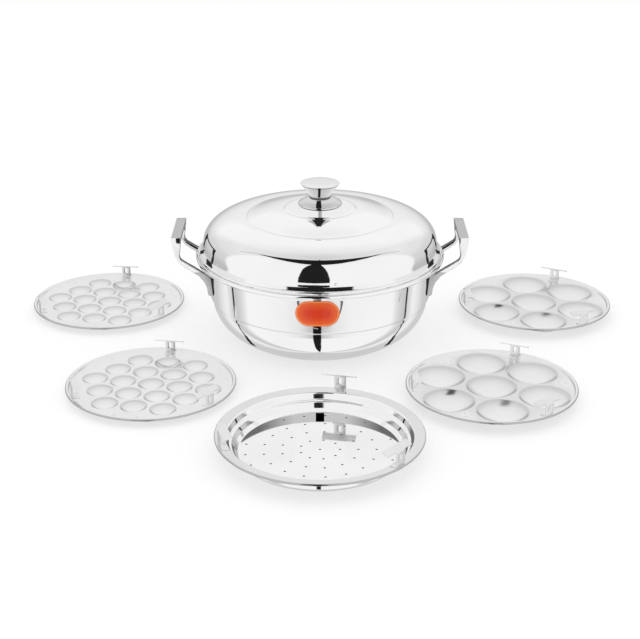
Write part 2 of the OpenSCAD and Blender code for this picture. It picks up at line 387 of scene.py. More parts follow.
@dataclass(frozen=True)
class Wiring:
    """A node tree that is built in short calls.

    Attributes:
        tree: The node tree.
    """

    tree: bpy.types.NodeTree

    def feed(self, node: bpy.types.Node, ins: Inputs) -> None:
        """Sets or links a node's inputs.

        Args:
            node: The node.
            ins: A value or a signal for each named or numbered input.
        """
        for name, value in ins.items():
            if isinstance(value, Signal):
                self.tree.links.new(value.socket, node.inputs[name])
            else:
                node.inputs[name].default_value = value

    def add(self, kind: str, ins: Inputs | None = None, operation: str = "") -> bpy.types.Node:
        """Adds a node.

        Args:
            kind: Its type, without the word ShaderNode that all share.
            ins: A value or a signal for each named or numbered input.
            operation: What it computes, where it has a choice.

        Returns:
            The node.
        """
        node = self.tree.nodes.new("ShaderNode" + kind)
        if operation:
            node.operation = operation
        self.feed(node, ins or {})
        return node

    def read(self, kind: str, output: str | int, ins: Inputs | None = None, operation: str = "") -> "Signal":
        """Adds a node for the sake of one of its outputs.

        Args:
            kind: Its type, as for add.
            output: The output's name or number.
            ins: Its inputs, as for add.
            operation: What it computes, where it has a choice.

        Returns:
            What comes out there.
        """
        return Signal(self, self.add(kind, ins, operation).outputs[output])

    def maths(self, kind: str, *values: "float | Signal") -> "Signal":
        """Returns the result of a maths operation."""
        return self.read("Math", 0, dict(enumerate(values)), kind)

    def mix(self, share: "Signal", first: "Signal", last: "Signal") -> "Signal":
        """Returns one shader where share is 0 and the other where it is 1."""
        return self.read("MixShader", 0, {0: share, 1: first, 2: last})

    def split(self, vector: "Signal") -> "list[Signal]":
        """Returns a vector's three parts."""
        return [Signal(self, part) for part in self.add("SeparateXYZ", {"Vector": vector}).outputs]

    def bump(self, height: "Signal", strength: float, depth: float) -> "Signal":
        """Returns the normal of a relief whose depth is in millimetres."""
        return self.read("Bump", "Normal", {"Height": height, "Strength": strength, "Distance": depth * MM})

    def span(self, value: "Signal", ends: Point, results: Point) -> "Signal":
        """Stretches a value from one span to another and holds it there.

        Args:
            value: The value.
            ends: The lowest and highest value.
            results: What these two become.

        Returns:
            The stretched value.
        """
        names = ("From Min", "From Max", "To Min", "To Max")
        return self.read("MapRange", "Result", {"Value": value, **dict(zip(names, (*ends, *results)))})

    def ramp(self, value: "Signal", stops: Sequence[tuple[float, Colour]]) -> "Signal":
        """Looks a colour up.

        Args:
            value: Where to look, from 0 to 1.
            stops: The (position, colour) stops in order.

        Returns:
            The colour.
        """
        node = self.add("ValToRGB", {"Fac": value})
        marks = node.color_ramp.elements
        for mark, (position, colour) in zip(marks[:], (stops[0], stops[-1])):
            mark.position, mark.color = position, (*colour, 1.0)
        for position, colour in stops[1:-1]:
            marks.new(position).color = (*colour, 1.0)
        return Signal(self, node.outputs["Color"])


@dataclass(frozen=True)
class Signal:
    """What comes out of a node, with the usual arithmetic.

    Attributes:
        wiring: The tree that it runs in.
        socket: The output that it comes from.
    """

    wiring: Wiring
    socket: bpy.types.NodeSocket

    def maths(self, kind: str, *others: "float | Signal") -> "Signal":
        """Returns the result of a maths operation on this signal and others."""
        return self.wiring.maths(kind, self, *others)

    def __add__(self, other: "float | Signal") -> "Signal":
        """Returns the sum."""
        return self.maths("ADD", other)

    def __sub__(self, other: "float | Signal") -> "Signal":
        """Returns the difference."""
        return self.maths("SUBTRACT", other)

    def __rsub__(self, other: float) -> "Signal":
        """Returns a number less this signal."""
        return self.wiring.maths("SUBTRACT", other, self)

    def __mul__(self, other: "float | Signal") -> "Signal":
        """Returns the product."""
        return self.maths("MULTIPLY", other)

    def __truediv__(self, other: "float | Signal") -> "Signal":
        """Returns the quotient."""
        return self.maths("DIVIDE", other)

    def __abs__(self) -> "Signal":
        """Returns the size without its sign."""
        return self.maths("ABSOLUTE")

    def within(self, low: float, high: float, soft: float) -> "Signal":
        """Masks the values between two limits.

        Args:
            low: Where the mask begins.
            high: Where it ends.
            soft: Half the width of its soft edges.

        Returns:
            A signal that is 1 between the limits and 0 outside.
        """
        edges = []
        for limit, results in ((low, (0.0, 1.0)), (high, (1.0, 0.0))):
            edge = self.wiring.span(self, (limit - soft, limit + soft), results)
            edge.socket.node.interpolation_type = "SMOOTHSTEP"
            edges.append(edge)
        return edges[0] * edges[1]

    def curve(self, points: Sequence[Point], low: float, high: float, top: float) -> "Signal":
        """Looks this signal up along straight stretches between points.

        Args:
            points: The (value, result) points.
            low: The lowest value.
            high: The highest value.
            top: The largest result.

        Returns:
            The result.
        """
        stops = [((x - low) / (high - low), (y / top,) * 3) for x, y in points]
        return self.wiring.ramp((self - low) / (high - low), stops) * top

    def blend(self, first: "float | Signal", last: "Signal") -> "Signal":
        """Returns first where this signal is 0, last where it is 1 and a blend between."""
        return self * (last - first) + first


def wired(name: str) -> tuple[bpy.types.Material, Wiring]:
    """Makes a node material.

    Args:
        name: Its name.

    Returns:
        The material and its wiring.
    """
    made = bpy.data.materials.new(name)
    made.use_nodes = True
    return made, Wiring(made.node_tree)


# Finishes.


class Grain(Enum):
    """How a steel surface was worked."""

    TURNED = "turned"
    PRESSED = "pressed"
    CAST = "cast"


@dataclass(frozen=True)
class Steel:
    """Polished stainless steel with faint working marks, wipe marks and, where a point attribute is named,
    painted shade.

    Attributes:
        name: The material's name.
        grain: How the surface was worked.
        colour: The metal's reflectance.
        roughness: The smoothest and the dullest roughness.
        grain_scale: How fine the working marks are.
        grain_depth: Their depth in millimetres.
        centre: Where the turned marks are centred, in millimetres.
        worn: The name of a point attribute that scales the reflectance as painted shade, or none.
        wiped: How much darker the metal is where it was wiped.
    """

    name: str
    grain: Grain
    colour: Colour = (0.90, 0.90, 0.905)
    roughness: Point = (0.03, 0.07)
    grain_scale: float = 260.0
    grain_depth: float = 0.004
    centre: Point = (0.0, 0.0)
    worn: str = ""
    wiped: float = 0.965

    def material(self) -> bpy.types.Material:
        """Builds the node material.

        Returns:
            The material.
        """
        made, wiring = wired(self.name)
        place = wiring.read("TexCoord", "Object")
        offset = (-self.centre[0] * MM, -self.centre[1] * MM, 0.0)
        spot = wiring.read("Mapping", "Vector", {"Vector": place, "Location": offset})
        noise = {"Vector": spot, "Scale": 14.0, "Detail": 5.0, "Roughness": 0.6}
        wipes = wiring.read("TexNoise", "Fac", noise)
        faint = tuple(channel * self.wiped for channel in self.colour)
        tint = wiring.ramp(wipes, ((0.3, faint), (0.65, self.colour)))
        # Painted shade: a point attribute scales the reflectance down where shade should fall.
        if self.worn:
            share = wiring.add("Attribute")
            share.attribute_name = self.worn
            scale = Signal(wiring, share.outputs["Fac"])
            tint = wiring.read("VectorMath", "Vector", {0: tint, "Scale": scale}, "SCALE")
        wiring.feed(
            wiring.tree.nodes["Principled BSDF"],
            {
                "Metallic": 1.0,
                "Base Color": tint,
                "Roughness": wiring.span(wipes, (0.35, 0.7), self.roughness),
                "Normal": wiring.bump(self._marks(wiring, spot), 0.25, self.grain_depth),
            },
        )
        return made

    def _marks(self, wiring: Wiring, spot: Signal) -> Signal:
        """Adds the working marks.

        Args:
            wiring: The material's wiring.
            spot: The place on the surface.

        Returns:
            Their height.
        """
        if self.grain is not Grain.TURNED:
            detail = 2.0 if self.grain is Grain.PRESSED else 6.0
            noise = {"Vector": spot, "Scale": self.grain_scale, "Detail": detail}
            return wiring.read("TexNoise", "Fac", noise)
        wave = {"Vector": spot, "Scale": self.grain_scale, "Distortion": 1.5, "Detail": 3.0}
        rings = wiring.add("TexWave", wave)
        rings.wave_type, rings.rings_direction = "RINGS", "Z"
        return Signal(wiring, rings.outputs["Fac"])


@dataclass(frozen=True)
class LabelFilm:
    """Glossy printed film, orange-red with a paler edge and no print on it.

    Attributes:
        name: The material's name.
        aside: How far the label's middle is to the side, in millimetres.
        straight: Half the length of the label's straight sides, in millimetres.
        radius: The radius of its round ends, in millimetres.
        height: The height of its centre, in millimetres.
        middle: The colour in the middle.
        rim: The colour near the edge.
        line: The colour of the thin edge line.
    """

    name: str
    aside: float
    straight: float
    radius: float
    height: float
    middle: Colour = (0.76, 0.045, 0.008)
    rim: Colour = (0.90, 0.13, 0.018)
    line: Colour = (0.96, 0.36, 0.12)

    def material(self) -> bpy.types.Material:
        """Builds the node material.

        Returns:
            The material.
        """
        made, wiring = wired(self.name)
        place = wiring.read("TexCoord", "Object")
        x, _, z = wiring.split(place)
        past = abs(x - self.aside * MM) - self.straight * MM
        offset = {"X": past.maths("MAXIMUM", 0.0), "Y": z - self.height * MM}
        spot = wiring.read("CombineXYZ", "Vector", offset)
        reach = wiring.read("VectorMath", "Value", {0: spot}, "LENGTH") / (self.radius * MM)
        stops = ((0.25, self.middle), (0.84, self.rim), (0.91, self.line), (0.97, self.rim))
        fibre = wiring.read("TexNoise", "Fac", {"Vector": place, "Scale": 900.0})
        wiring.feed(
            wiring.tree.nodes["Principled BSDF"],
            {
                "Base Color": wiring.ramp(reach, stops),
                "Roughness": 0.22,
                "Normal": wiring.bump(fibre, 0.1, 0.02),
            },
        )
        return made


def dress(piece: Piece, *finishes: bpy.types.Material) -> None:
    """Gives a piece its finishes, the main one first.

    Args:
        piece: The piece.
        finishes: The materials, one for each slot.
    """
    piece.data.materials.clear()
    for finish in finishes:
        piece.data.materials.append(finish)


def hand_over(piece: Piece, body: str, node: str, mirrored: bool = True) -> None:
    """Rides a piece on its body in place of its frame node and reports it.

    Args:
        piece: The finished piece.
        body: The body that it moves with.
        node: The frame node that it stands for.
        mirrored: Whether the other pieces' reflections show it.
    """
    piece.visible_glossy = mirrored
    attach(piece, body)
    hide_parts(node)
    LOG.info("%s rides on %s for %s", piece.name, body, node)


# The pot.


@dataclass
class Pot:
    """The bowl and its blank label.

    Attributes:
        height: The height of the rim's middle.
        rim_r: The outer radius of the rolled rim.
        wall_r: The wall's radius where it begins to flare.
        ledge_r: The wall's radius just above the ledge.
        ledge_drop: How far the ledge lies below the rim.
        bowl_r: The radius just below the ledge.
        base_r: The radius of the flat base.
        bowl_power: The roundness of the bowl, where 2 is an ellipse.
        flare: How far the wall flares out and up to the rim.
        flare_drop: How far below the rim the flare begins.
        sheet: The sheet's thickness.
        bead_r: The radius of the rolled rim.
        film: The label's thickness.
    """

    height: float = 114.0
    rim_r: float = 160.0
    wall_r: float = 146.0
    ledge_r: float = 142.5
    ledge_drop: float = 54.0
    bowl_r: float = 139.5
    base_r: float = 72.0
    bowl_power: float = 1.9
    flare: Point = (8.0, 9.4)
    flare_drop: float = 10.0
    sheet: float = 1.6
    bead_r: float = 3.0
    film: float = 0.3

    @property
    def ledge_z(self) -> float:
        """Height of the ledge."""
        return self.height - self.ledge_drop

    def wall_at(self, z: float) -> float:
        """Returns the outer radius of the upper wall at a height."""
        share = (z - self.ledge_z) / (self.ledge_drop - self.flare_drop)
        return self.ledge_r + (self.wall_r - self.ledge_r) * share

    def side(self, skin: float) -> list[Point]:
        """Draws one side of the sheet from the base to the rim.

        Args:
            skin: How far inside the outer side it lies.

        Returns:
            The outline.
        """
        bowl_r, ledge_r, wall_r = self.bowl_r - skin, self.ledge_r - skin, self.wall_r - skin
        z, flare_z = self.ledge_z, self.height - self.flare_drop
        bowl = quarter((bowl_r, z - 3), (self.base_r, skin), self.bowl_power, 40)
        corners = [
            (bowl_r, z - 3), (bowl_r + 0.1, z - 1.6), (ledge_r - 0.1, z + 0.6), (ledge_r + 0.1, z + 3),
            (wall_r, flare_z),
        ]
        out, rise = self.flare[0] + skin, self.flare[1] - self.sheet + skin
        turns = [math.radians(angle) for angle in range(10, 100, 10)]
        cove = [(wall_r + out * (1 - math.cos(t)), flare_z + rise * math.sin(t)) for t in turns]
        return bowl[::-1] + soften(corners, 1.1)[1:] + cove

    def bowl(self) -> None:
        """Makes the spun bowl with its rolled rim."""
        roll = arc((self.rim_r - self.bead_r, self.height), self.bead_r, -125, 190, 28)
        work = bmesh.new()
        spin(work, [(0, 0), *self.side(0), *roll, *self.side(self.sheet)[::-1], (0, self.sheet)])
        piece = finished("bowl", work)
        dress(piece, Steel("bowl_steel", Grain.TURNED, roughness=(0.02, 0.05)).material())
        hand_over(piece, "kadai", "kadai_bowl", mirrored=False)

    def label(
        self,
        width: float = 54.0,
        tall: float = 34.0,
        middle: float = 88.0,
        turn: float = -1.2,
        cuts: int = 36,
    ) -> None:
        """Makes the blank label, bent round the wall.

        Args:
            width: Its width round the wall.
            tall: Its height.
            middle: The height of its centre above the table.
            turn: How far it sits round from the front, in degrees.
            cuts: The number of flat strips in its bend.
        """
        radius, straight = tall / 2, (width - tall) / 2
        ends = arc((straight, 0), radius, -90, 90, 24) + arc((-straight, 0), radius, 90, 270, 24)
        work = bmesh.new()
        edges = add_outline(work, [(x, 0, z) for x, z in ends], closed=True)
        bmesh.ops.contextual_create(work, geom=edges)
        for i in range(1, cuts):
            bmesh.ops.bisect_plane(
                work,
                geom=[*work.verts, *work.edges, *work.faces],
                plane_co=((width * i / cuts - width / 2) * MM, 0, 0),
                plane_no=(1, 0, 0),
            )
        for vert in work.verts:
            x, z = vert.co.x / MM, middle + vert.co.z / MM
            vert.co = Vector((x, -math.sqrt((self.wall_at(z) + self.film) ** 2 - x**2), z)) * MM
        work.normal_update()
        if sum(face.normal.y for face in work.faces) > 0:
            bmesh.ops.reverse_faces(work, faces=work.faces)
        add_wall(work, self.film)
        angle = math.radians(turn)
        bmesh.ops.rotate(work, verts=work.verts, matrix=Matrix.Rotation(angle, 3, "Z"))
        piece = finished("label", work)
        aside = self.wall_at(middle) * math.sin(angle)
        dress(piece, LabelFilm("label_film", aside, straight, radius, middle).material())
        hand_over(piece, "kadai", "blank_label", mirrored=False)


@dataclass
class Handle:
    """A cast loop: a grip on two legs that end in pads on the wall.

    Attributes:
        pot: The pot that carries it.
        side: The side of the pot, -1 or 1.
        out: The grip's outer edge from the pot's axis.
        top: The height of the grip's top.
        grip_w: The grip's width.
        grip_t: Its thickness.
        length: Its length.
        leg_t: The legs' thickness along the grip.
        pad_low: The height of the pads' lower ends.
        pad_t: The pads' thickness.
        pad_drop: How far below the grip's top the painted shade of the lower legs and pads begins, on a
            duller finish.
        draft: How far the legs' outer sides lean in.
        sunk: How far the pads reach into the wall's surface.
    """

    pot: Pot
    side: int
    out: float = 188.0
    top: float = 148.0
    grip_w: float = 12.5
    grip_t: float = 5.0
    length: float = 82.0
    leg_t: float = 7.0
    pad_low: float = 69.0
    pad_t: float = 3.6
    pad_drop: float = 47.0
    draft: float = 1.7
    sunk: float = 0.8

    def on_wall(self, y: float, z: float) -> float:
        """Returns where the pad meets the wall, a little under its surface."""
        return math.sqrt((self.pot.wall_at(z) - self.sunk) ** 2 - y**2)

    def stations(self) -> list[tuple[Point | float, Point]]:
        """Lays out a leg.

        Returns:
            Its inner and outer points, from the pad to the grip. An inner point
            that lies on the wall is given as its height alone.
        """
        out, top, low = self.out, self.top, self.pad_low
        leg_y = (self.length - self.leg_t) / 2
        pad = math.sqrt(self.pot.wall_r**2 - leg_y**2) + self.pad_t
        return [
            (low, (pad - 3.0, low)),
            (low + 3.0, (pad - 1.2, low + 2.6)),
            (low + 12.0, (pad - 0.2, low + 11)),
            (low + 22.0, (pad + 3.0, top - 60)),
            (top - 52, (out - 37.5, top - 56.5)),
            (top - 49.2, (out - 34.5, top - 52.5)),
            ((pad + 2.3, top - 48.5), (out - 31, top - 49.6)),
            ((out - 36, top - 45.2), (out - 27, top - 47.2)),
            ((out - 29, top - 40.6), (out - 22, top - 43.8)),
            ((out - 20, top - 35.0), (out - 15.5, top - 39.6)),
            ((out - 13.2, top - 30.6), (out - 10.4, top - 35.8)),
            ((out - 10.8, top - 28), (out - 7, top - 31.5)),
            ((out - 10, top - 24), (out - 4, top - 24.5)),
            ((out - 11.2, top - 14), (out - 1.6, top - 14)),
            ((out - 11.9, top - 8), (out - 0.7, top - 8)),
        ]

    def build(self) -> Piece:
        """Makes one loop handle.

        Returns:
            The handle.
        """
        outer_y, inner_y = -self.length / 2, -self.length / 2 + self.leg_t
        low, grip_in = self.top - self.grip_t, self.out - self.grip_w
        rings = []
        for inner, (x, z) in self.stations():
            if isinstance(inner, tuple):
                near, far = (inner[0], outer_y, inner[1]), (inner[0], inner_y, inner[1])
            else:
                near = (self.on_wall(outer_y, inner), outer_y, inner)
                far = (self.on_wall(inner_y, inner), inner_y, inner)
            rings.append([near, (x, outer_y + self.draft, z), (x, inner_y, z), far])
        bar_y = outer_y + 12
        for y_high, y_low, back in ((outer_y, inner_y, self.draft), (bar_y, bar_y, 0), (0, 0, 0)):
            rings.append([
                (grip_in, y_high, self.top), (self.out, y_high + back, self.top),
                (self.out, y_low, low), (grip_in, y_low, low),
            ])
        work = bmesh.new()
        edges = add_outline(work, rings[0], closed=True)
        bmesh.ops.contextual_create(work, geom=edges)
        for before, here in zip(rings, rings[1:]):
            edges = pull(work, edges, before, here)
        bmesh.ops.mirror(
            work,
            geom=[*work.verts, *work.edges, *work.faces],
            matrix=Matrix.Identity(4),
            axis="Y",
            merge_dist=NEAR,
        )
        if self.side < 0:
            bmesh.ops.scale(work, vec=(-1, 1, 1), verts=work.verts)
        bmesh.ops.remove_doubles(work, verts=work.verts, dist=NEAR)
        bmesh.ops.recalc_face_normals(work, faces=work.faces)
        ease_edges(work, 0.6, 3, 42.0)
        name = "handle_" + ("left" if self.side < 0 else "right")
        piece = finished(name + "_loop", work, sharp=50.0)
        # Painted shade: darker steel on the grip's top (which is also rougher), near-black steel on faces
        # that look down or towards the pot, darker steel on the lower legs and pads.
        dress(piece, *(
            Steel(name + part, Grain.CAST, (tone, tone, tone + 0.005), dull, scale, depth).material()
            for part, tone, dull, scale, depth in (
                ("_steel", 0.88, (0.04, 0.10), 120.0, 0.01),
                ("_top_steel", 0.5, (0.24, 0.36), 420.0, 0.02),
                ("_inner_steel", 0.10, (0.16, 0.26), 120.0, 0.02),
                ("_pad_steel", 0.5, (0.10, 0.18), 120.0, 0.02),
            )
        ))
        for face in piece.data.polygons:
            if face.normal.z > 0.95 and face.center.z > (self.top - 0.3) * MM:
                face.material_index = 1
            elif -self.side * face.normal.x > 0.35 or face.normal.z < -0.4:
                face.material_index = 2
            elif face.center.z < (self.top - self.pad_drop) * MM:
                face.material_index = 3
        hand_over(piece, "kadai", name)
        return piece


# The lid.


@dataclass
class Lid:
    """The domed lid with its knob.

    Attributes:
        pot: The pot that carries it.
        rim_r: The outer radius of its rolled edge.
        dome_r: The radius at the dome's foot.
        foot: The height of the dome's foot above the pot's rim.
        ring_r: The radius of the embossed ring.
        ring_h: The height of the ring above the pot's rim.
        crown_r: The radius of the raised centre.
        crown_h: The height of the raised centre above the pot's rim.
        power: The roundness of the dome, where 2 is an ellipse.
        sheet: The sheet's thickness.
        bead_r: The radius of the rolled edge.
        hole_r: The radius of the screw hole.
        gap: How far the lid stays clear of the pot's rim.
    """

    pot: Pot
    rim_r: float = 156.8
    dome_r: float = 150.3
    foot: float = 15.0
    ring_r: float = 93.3
    ring_h: float = 51.0
    crown_r: float = 45.0
    crown_h: float = 62.0
    power: float = 2.3
    sheet: float = 1.2
    bead_r: float = 1.5
    hole_r: float = 2.9
    gap: float = 0.3

    @property
    def crown_z(self) -> float:
        """Height of the raised centre."""
        return self.pot.height + self.crown_h

    def side(self, skin: float) -> list[Point]:
        """Draws one side of the sheet from the foot to the screw hole.

        Args:
            skin: How far inside the outer side it lies.

        Returns:
            The outline.
        """
        base, dome_r = self.pot.height, self.dome_r - skin
        low, foot_z = base + self.pot.bead_r + 3.2 - skin, base + self.foot
        ring_z, crown_z = base + self.ring_h - skin, self.crown_z - skin
        cove = [
            (dome_r + 5.0, low + 0.1), (dome_r + 4.5, low + 0.2), (dome_r + 3.9, low + 0.74),
            (dome_r + 0.6, low + 3.71), (dome_r + 0.05, low + 4.2), (dome_r, foot_z - 1.2), (dome_r, foot_z),
        ]
        dome = quarter((dome_r, foot_z), (self.ring_r + 1, ring_z), self.power, 48)
        start, stop, cuts = self.ring_r - 1.5, self.crown_r + 3, 14
        shelf, rise = ring_z + 0.8, self.crown_h - self.ring_h - 2.6
        slope = [
            (start - (start - stop) * i / cuts, shelf + rise * math.sin(math.pi / 2 * i / cuts))
            for i in range(cuts + 1)
        ]
        ring = [dome[-2], (self.ring_r + 0.9, ring_z), (self.ring_r - 0.6, shelf + 0.1), slope[1]]
        crown = [
            slope[-2], (self.crown_r + 1.7, crown_z - 1.75), (self.crown_r + 0.1, crown_z - 0.55),
            (self.crown_r - 2, crown_z), (self.crown_r - 8, crown_z),
        ]
        return [
            *soften(cove, 1.2)[:-1], *dome[:-2], *soften(ring, 0.5), *slope[2:-2], *soften(crown, 0.7),
        ]

    def dome(self) -> None:
        """Makes the lid's shell with its rolled edge."""
        rest_z = self.pot.height + self.pot.bead_r + self.gap
        centre = (self.rim_r - self.bead_r, rest_z + self.bead_r)
        roll = arc(centre, self.bead_r, -190, 130, 24)
        bore = [(self.hole_r, self.crown_z), (self.hole_r, self.crown_z - self.sheet)]
        work = bmesh.new()
        spin(work, [*roll, *self.side(0), *bore, *self.side(self.sheet)[::-1]], closed=True)
        piece = finished("lid_shell", work)
        dress(piece, Steel("lid_steel", Grain.TURNED, roughness=(0.02, 0.05)).material())
        hand_over(piece, "lid", "lid_dome")

    def knob(self, radius: float = 25.0, tall: float = 33.0, stand: float = 14.0) -> None:
        """Makes the knob's cap and its rosette.

        Args:
            radius: The radius of the knob's top.
            tall: The height of its top above the raised centre.
            stand: The height of the rosette.
        """
        z, neck_z, top_z = self.crown_z, self.crown_z + stand, self.crown_z + tall
        bore = 2.5
        cap = soften(
            [
                (0, neck_z + 9), (bore, neck_z + 9), (bore, neck_z), (10.6, neck_z),
                (11.2, neck_z + 0.6), (12.3, neck_z + 1.8),
                (radius - 1, top_z - 2.2), (radius, top_z - 1.2), (radius - 0.6, top_z - 0.5),
                (radius * 0.6, top_z - 0.1), (0, top_z),
            ],
            0.6,
        )
        rosette = soften(
            [
                (bore + 0.3, z), (17, z), (17.6, z + 1.2), (25.5, z + 2.6), (27.6, z + 3.8),
                (28.4, z + 5.2), (27.6, z + 6.8), (21.6, z + 10.6), (13.6, z + 12.9),
                (11.6, z + 13.3), (10.4, neck_z), (bore + 0.3, neck_z),
            ],
            2.2,
        )
        # Painted shade: near-black steel on thin bands under the cap's edge, where cap and rosette meet, and
        # round the rosette's lower edge; the rosette's lower reflectance than the cap's is painted shade too.
        shade_band_steel = Steel("knob_dark_steel", Grain.TURNED, (0.10,) * 3, (0.06, 0.12), 700.0).material()
        shade_band_w = 3.8
        for name, profile, node, closed, tone, shade_bands in (
            ("knob_top", cap, "knob_cap", False, 0.82, ((23.9, 30.5, 31.9), (10.5, 13.9, 15.9))),
            ("knob_foot", rosette, "knob_rosette", True, 0.66, ((26.8, 3.0, 4.9), (10.3, 12.7, 14.1))),
        ):
            work = bmesh.new()
            spin(work, profile, steps=128, closed=closed)
            piece = finished(name, work)
            steel = Steel(name + "_steel", Grain.TURNED, (tone,) * 3, (0.02, 0.05), 700.0)
            dress(piece, steel.material(), shade_band_steel)
            for face in piece.data.polygons:
                reach, rise = face.center.xy.length / MM, face.center.z / MM - z
                if any(near < reach < near + shade_band_w and low < rise < high for near, low, high in shade_bands):
                    face.material_index = 1
            hand_over(piece, "lid", node, mirrored=False)

    def fasteners(self, frame: dict) -> None:
        """Gives the frame's own knob screw and washer a machined finish.

        Args:
            frame: The loaded frame.
        """
        steel = Steel("screw_steel", Grain.TURNED, (0.55, 0.55, 0.56), (0.2, 0.35), 900.0)
        finish = steel.material()
        for node in ("knob_screw", "knob_washer"):
            dress(frame["nodes"][node], finish)


# The loose plates.


@dataclass
class Bracket:
    """A bent strip: a foot, a slotted post and a tilted bar on top.

    Attributes:
        diameter: The plate's diameter, which sets the five lengths.
        tall: The post's height.
        foot: The foot's length.
        bar: The bar's width and half its length.
        post: Half the post's width.
        sheet: The strip's thickness.
        tilt: How far the bar rises inwards, in degrees.
        heel_r: The bend's reach at the foot.
        neck_r: The bend's reach under the bar.
    """

    diameter: float
    tall: float = field(init=False)
    foot: float = field(init=False)
    bar: Point = field(init=False)
    post: float = field(init=False)
    sheet: float = 1.2
    tilt: float = 24.0
    heel_r: float = 1.8
    neck_r: float = 1.4

    def __post_init__(self) -> None:
        """Works out the lengths that grow with the plate."""
        self.tall, self.foot = 0.073 * self.diameter, 0.041 * self.diameter
        self.bar, self.post = (0.046 * self.diameter, 0.0865 * self.diameter), 0.03 * self.diameter

    def strip(self, slope: float) -> list[Point]:
        """Draws the strip's outer side from the foot's toe to the bar.

        Args:
            slope: How much the foot falls inwards, in degrees.

        Returns:
            The (inwards, up) points, with six in each of its two bends.
        """
        fall, rise = math.radians(slope), math.radians(self.tilt)
        toe = Vector((-math.cos(fall), -math.sin(fall)))
        tip = Vector((-math.cos(rise), math.sin(rise)))
        heel = bend(tuple(toe * self.heel_r), (0, 0), (0, self.heel_r), 5)
        reach = tip * self.neck_r
        neck = bend((0, self.tall - self.neck_r), (0, self.tall), (reach.x, self.tall + reach.y), 5)
        end = tip * self.bar[0]
        return [tuple(toe * self.foot), *heel, *neck, (end.x, self.tall + end.y)]

    def build(
        self, name: str, centre: Point, turn: float, radius: float, floor: float, slope: float = 0.0
    ) -> Piece:
        """Makes one bracket.

        Args:
            name: The piece's name.
            centre: The plate's centre.
            turn: The bracket's direction from +X, in degrees.
            radius: The distance of the post's outer face from the centre.
            floor: The height that the foot stands on.
            slope: How much that floor falls inwards, in degrees.

        Returns:
            The bracket in its place.
        """
        strip, bar = self.strip(slope), self.bar[1]
        rows = [[(x, -self.post, z), (x, self.post, z)] for x, z in strip]
        work = bmesh.new()
        for part in (rows[:7], rows[7:13]):
            edges = add_outline(work, part[0])
            for before, here in zip(part, part[1:]):
                edges = pull(work, edges, before, here)
        low, high = (0, 0.45 * self.tall), (0, 0.75 * self.tall)
        slot = arc(low, 1.5, 180, 360, 8) + arc(high, 1.5, 0, 180, 8)
        web = add_outline(work, rows[6] + rows[7][::-1], closed=True)
        web += add_outline(work, [(0, y, z) for y, z in slot], closed=True)
        bmesh.ops.triangle_fill(work, edges=web, use_beauty=True, normal=(1, 0, 0))
        (x, z), (end_x, end_z) = strip[-2:]
        leaf = [(x, -bar, z), *rows[12], (x, bar, z), (end_x, bar, end_z), (end_x, -bar, end_z)]
        bmesh.ops.contextual_create(work, geom=add_outline(work, leaf, closed=True))
        face_towards(work, (1, 0, 0))
        add_wall(work, self.sheet)
        bmesh.ops.remove_doubles(work, verts=work.verts, dist=NEAR)
        ease_edges(work, 0.25, 2, 50.0)
        bmesh.ops.rotate(work, verts=work.verts, matrix=Matrix.Rotation(math.radians(turn), 3, "Z"))
        spot = Vector((*polar(radius, turn, centre), floor))
        bmesh.ops.translate(work, verts=work.verts, vec=spot * MM)
        return finished(name, work, sharp=50.0)


